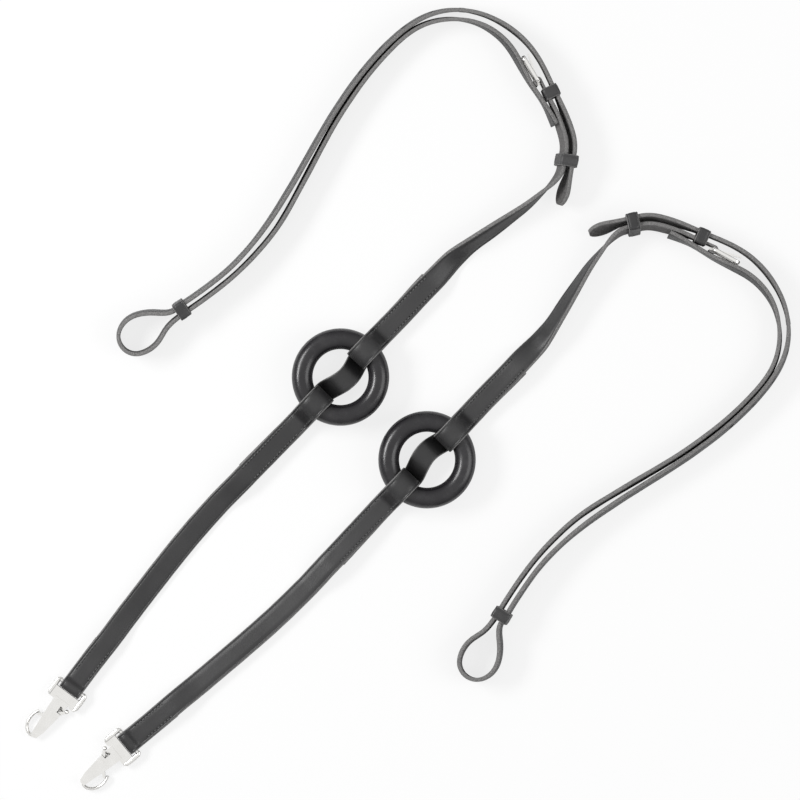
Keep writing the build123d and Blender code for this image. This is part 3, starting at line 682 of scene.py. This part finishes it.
room = STRAP_T + 1.5
fixed = keeper("fixed_keeper_leather", -86.0, 253.1, 159.5, 0, [(3.3, 10.2)])
ride_and_replace(fixed, "rein", "fixed_keeper", slot="black_leather")
tip_loop = keeper("tip_keeper_leather", -40.3, 223.0, 124.0, -12, [(0, room), (7.0, room)])
ride_and_replace(tip_loop, "tip_loop", "tip_keeper", slot="black_leather")
girth_loop = keeper("girth_loop_keeper_leather", -183.1, -77.9, 79.2, -8, [(0, room), (6.4, room)])
ride_and_replace(girth_loop, "girth_keeper", "loop_keeper", slot="black_leather")


# %% [markdown]
# The rubber ring is one moulding.  Where the halves of the mould met there is a fine raised line
# round it.

# %% Rubber ring
def rubber_ring():
    points, faces, around, tube = [], [], 180, 56
    for i in range(around):
        big = 2 * pi * i / around
        for j in range(tube):
            small = 2 * pi * j / tube
            flash = 0.10 if j in (0, tube // 2) else 0.0
            r = RING_TUBE / 2 + flash
            reach = RING_R + r * cos(small)
            points.append((RING.x + reach * cos(big), RING.y + reach * sin(big),
                           RING.z + r * sin(small)))
    for i in range(around):
        for j in range(tube):
            k, h = (j + 1) % tube, (i + 1) % around
            faces.append((i * tube + j, i * tube + k, h * tube + k, h * tube + j))
    return pair("rubber_doughnut", points, faces, RUBBER)


rings = rubber_ring()
ride_and_replace(rings, "ring", "rubber_ring", slot="black_rubber")


# %% [markdown]
# The seams are hand stitched with heavy waxed thread, about eight stitches to the inch.  They
# could be set one by one, but the rule is simple, so a small node tree walks along each seam line
# and sets a slanted stitch and, for its awl hole, a flat disk of painted shade every pitch.

# %% Node tree for a seam
def seam_tree():
    tree = bpy.data.node_groups.new("seam", "GeometryNodeTree")
    face = tree.interface
    face.new_socket("Geometry", in_out="INPUT", socket_type="NodeSocketGeometry")
    sockets = {}
    for name, value in (("Pitch", 3.1), ("Stitch Length", 2.5), ("Thread", 1.05), ("Slant", 16.0)):
        socket = face.new_socket(name, in_out="INPUT", socket_type="NodeSocketFloat")
        socket.default_value = value
        sockets[name] = socket.identifier
    face.new_socket("Geometry", in_out="OUTPUT", socket_type="NodeSocketGeometry")
    given = tree.nodes.new("NodeGroupInput").outputs
    result = tree.nodes.new("NodeGroupOutput")

    def scaled(socket, factor):
        return add(tree, "ShaderNodeMath", {0: socket, 1: factor}, operation="MULTIPLY").outputs[0]

    def blob(size_x, size_y, size_z, shift, material):
        ball = add(tree, "GeometryNodeMeshUVSphere", {"Segments": 10, "Rings": 7, "Radius": 1.0})
        size = add(tree, "ShaderNodeCombineXYZ", {0: size_x, 1: size_y, 2: size_z})
        move = add(tree, "ShaderNodeCombineXYZ", {0: shift})
        moved = add(tree, "GeometryNodeTransform", {"Geometry": ball.outputs["Mesh"],
                    "Scale": size.outputs[0], "Translation": move.outputs[0]})
        return add(tree, "GeometryNodeSetMaterial",
                   {"Geometry": moved.outputs[0], "Material": material}).outputs[0]

    pitch = scaled(given["Pitch"], MM)
    length = scaled(given["Stitch Length"], MM)
    thread = scaled(given["Thread"], MM)
    line = add(tree, "GeometryNodeMeshToCurve", {"Mesh": given["Geometry"]}).outputs[0]
    spaced = add(tree, "GeometryNodeResampleCurve", {"Curve": line, "Length": pitch}, mode="LENGTH")
    up = add(tree, "GeometryNodeInputNamedAttribute", {"Name": "up"}, data_type="FLOAT_VECTOR")
    stand = add(tree, "FunctionNodeAlignRotationToVector", {"Vector": up.outputs[0]}, axis="Z")
    tangent = add(tree, "GeometryNodeInputTangent").outputs[0]
    point = add(tree, "FunctionNodeAlignRotationToVector",
                {"Rotation": stand.outputs[0], "Vector": tangent}, axis="X", pivot_axis="Z")
    uneven = add(tree, "FunctionNodeRandomValue", {"Seed": 11}, data_type="FLOAT")
    limits = [socket for socket in uneven.inputs if socket.name in ("Min", "Max") and socket.enabled]
    for socket, value in zip(limits, (-3.0, 3.0)):
        socket.default_value = value
    drift = [s for s in uneven.outputs if s.enabled][0]
    lean = add(tree, "ShaderNodeMath", {0: given["Slant"], 1: drift}, operation="ADD").outputs[0]
    turn = add(tree, "ShaderNodeCombineXYZ", {2: scaled(lean, pi / 180)}).outputs[0]
    spin = add(tree, "FunctionNodeEulerToRotation", {0: turn}).outputs[0]
    aim = add(tree, "FunctionNodeRotateRotation", {0: point.outputs[0], 1: spin},
              rotation_space="LOCAL")
    stitch = blob(scaled(length, 0.5), scaled(thread, 0.5), scaled(thread, 0.42), 0.0, THREAD)
    # the awl hole is a flat disk painted near black, as painted shade of the hole's inside
    hole = blob(scaled(thread, 0.55), scaled(thread, 0.42), scaled(thread, 0.10),
                scaled(pitch, 0.5), HOLE)
    both = add(tree, "GeometryNodeJoinGeometry")
    tree.links.new(stitch, both.inputs[0])
    tree.links.new(hole, both.inputs[0])
    placed = add(tree, "GeometryNodeInstanceOnPoints",
                 {"Points": spaced.outputs[0], "Instance": both.outputs[0], "Rotation": aim.outputs[0]})
    real = add(tree, "GeometryNodeRealizeInstances", {"Geometry": placed.outputs[0]})
    smooth_shade = add(tree, "GeometryNodeSetShadeSmooth", {"Geometry": real.outputs[0]})
    tree.links.new(smooth_shade.outputs[0], result.inputs[0])
    return tree, sockets


SEAM, SEAM_SOCKETS = seam_tree()


# %% Seams on the straps
def seam_line(places, offset, above, first, last):
    """Points and ups along a strap's face, offset across it and above its middle."""
    line = [(c + across * offset + normal * above, normal)
            for c, _, across, normal in frames_of(places)]
    return [(spot, up) for spot, up in line if first <= spot.y <= last]


def seams(name, lines, body, slant=16.0):
    made = []
    for which in SIDES:
        sign = 1 if which == "left" else -1
        spots, edges, ups = [], [], []
        for line in lines:
            edges += [(len(spots) + i, len(spots) + i + 1) for i in range(len(line) - 1)]
            spots += [(sign * p.x * MM, (p.y + TO_MIDDLE) * MM, p.z * MM) for p, _ in line]
            ups += [c for _, up in line for c in (sign * up.x, up.y, up.z)]
        mesh = bpy.data.meshes.new(f"{which}_{name}")
        mesh.from_pydata(spots, edges, [])
        mesh.attributes.new("up", "FLOAT_VECTOR", "POINT").data.foreach_set("vector", ups)
        thing = bpy.data.objects.new(f"{which}_{name}", mesh)
        bpy.context.scene.collection.objects.link(thing)
        nodes = thing.modifiers.new("seam", "NODES")
        nodes.node_group = SEAM
        nodes[SEAM_SOCKETS["Slant"]] = sign * slant
        settle(thing)
        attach(thing, f"{which}_{body}")
        made.append(thing)
    print(name, len(made[0].data.polygons), "faces")
    return made


SEAM_IN = 6.5               # each row's distance from the middle of the strap
SEAM_TOP = STRAP_T / 2 + 0.12
AFTER_FOLD = 26             # point of the fold's side view where it starts down off the ring


def two_rows(places, first, last):
    return [seam_line(places, offset, SEAM_TOP, first, last) for offset in (-SEAM_IN, SEAM_IN)]


ring_slope = along(fold_line, ring_axis, 90)[AFTER_FOLD:]
bit_slope = along(fold_line, bit_axis, -90)[AFTER_FOLD:]
seams("ring_end_stitches", two_rows(ring_main, 27, 77) + two_rows(ring_slope, 12, 27), "rein")
seams("bit_end_stitches", two_rows(bit_main, -137, -87) + two_rows(bit_slope, -87, -72), "bit_end")
seams("snap_end_stitches", two_rows(bit_main, -349, -322), "bit_end")


# %% [markdown]
# The buckle, its tongue and the snap hook are the frame's own solids under nickel plate.

# %% Metal fittings
PLATED = ("buckle_frame", "buckle_tongue", "snap_body", "snap_gate", "snap_pin")
for which in SIDES:
    for node, finish in [(name, NICKEL) for name in PLATED] + [("snap_spring", SPRING)]:
        thing = frame["nodes"][f"{which}_{node}"]
        thing.data.materials.clear()
        thing.data.materials.append(finish)
        thing.data.polygons.foreach_set("use_smooth", [True] * len(thing.data.polygons))


# %% [markdown]
# A plain white surface under broad, soft light, looked at from straight above.

# %% Floor, lights and camera
def floor():
    mesh = bpy.data.meshes.new("floor")
    mesh.from_pydata([(-4, -4, 0), (4, -4, 0), (4, 4, 0), (-4, 4, 0)], [], [(0, 1, 2, 3)])
    thing = bpy.data.objects.new("floor", mesh)
    bpy.context.scene.collection.objects.link(thing)
    made, tree, shader = new_material("white_surface")
    tone = blend_colour(tree, grain_noise(tree, 3, 2).outputs["Fac"],
                        (0.90, 0.90, 0.90, 1), (0.93, 0.93, 0.93, 1))
    tree.links.new(tone, shader.inputs["Base Color"])
    shader.inputs["Roughness"].default_value = 0.9
    shader.inputs["Specular IOR Level"].default_value = 0.1
    glow = add(tree, "ShaderNodeEmission", {"Color": (1, 1, 1, 1), "Strength": 1.0})
    seen = add(tree, "ShaderNodeLightPath").outputs["Is Camera Ray"]
    share = add(tree, "ShaderNodeMath", {0: seen, 1: 0.78}, operation="MULTIPLY").outputs[0]
    mix = add(tree, "ShaderNodeMixShader", {0: share, 1: shader.outputs[0], 2: glow.outputs[0]})
    tree.links.new(mix.outputs[0], tree.nodes["Material Output"].inputs["Surface"])
    mesh.materials.append(made)


def world():
    made = bpy.data.worlds.new("studio")
    made.use_nodes = True
    tree = made.node_tree
    path = add(tree, "ShaderNodeLightPath").outputs
    seen = add(tree, "ShaderNodeMath", {0: path["Is Camera Ray"], 1: path["Is Transmission Ray"]},
               operation="MAXIMUM").outputs[0]
    seen = add(tree, "ShaderNodeMath", {0: seen, 1: path["Is Glossy Ray"]},
               operation="MAXIMUM").outputs[0]
    tree.links.new(spread(tree, seen, 0.0, 1.0, 0.6, 1.0), tree.nodes["Background"].inputs["Strength"])
    way = add(tree, "ShaderNodeSeparateXYZ", {0: add(tree, "ShaderNodeTexCoord").outputs["Generated"]})
    high = spread(tree, way.outputs["Z"], 0.15, 0.95, 0.25, 1.0)
    dim = blend_colour(tree, high, (0.25, 0.25, 0.26, 1), (1, 1, 1, 1))
    sky = blend_colour(tree, path["Is Camera Ray"], dim, (1, 1, 1, 1))
    tree.links.new(sky, tree.nodes["Background"].inputs["Color"])
    bpy.context.scene.world = made


def lamp(name, place, size_x, size_y, power):
    light = bpy.data.lights.new(name, "AREA")
    light.shape, light.size, light.size_y, light.energy = "RECTANGLE", size_x, size_y, power
    thing = bpy.data.objects.new(name, light)
    thing.location = place
    thing.rotation_euler = (Vector((0, 0.06, 0)) - Vector(place)).to_track_quat("-Z", "Y").to_euler()
    bpy.context.scene.collection.objects.link(thing)


floor()
world()
VIEW_TURN = radians(43.71)
right_way = Vector((cos(VIEW_TURN), sin(VIEW_TURN), 0))
up_way = Vector((-sin(VIEW_TURN), cos(VIEW_TURN), 0))
lamp("key_softbox", -right_way * 1.5 + up_way * 0.5 + Z * 1.3, 1.1, 0.5, 30)
lamp("fill_softbox", right_way * 1.6 - up_way * 0.2 + Z * 1.2, 1.2, 1.2, 12)

camera = bpy.data.objects.new("camera", bpy.data.cameras.new("camera"))
camera.data.sensor_width = 36.0
CAMERA_HEIGHT = 3.0
camera.data.lens = 36.0 * CAMERA_HEIGHT / 0.65304
camera.location = (-0.0008, 0.0620, CAMERA_HEIGHT)
camera.rotation_euler = (0, 0, VIEW_TURN)
bpy.context.scene.collection.objects.link(camera)
bpy.context.scene.camera = camera
bpy.context.scene.view_settings.view_transform = "Standard"
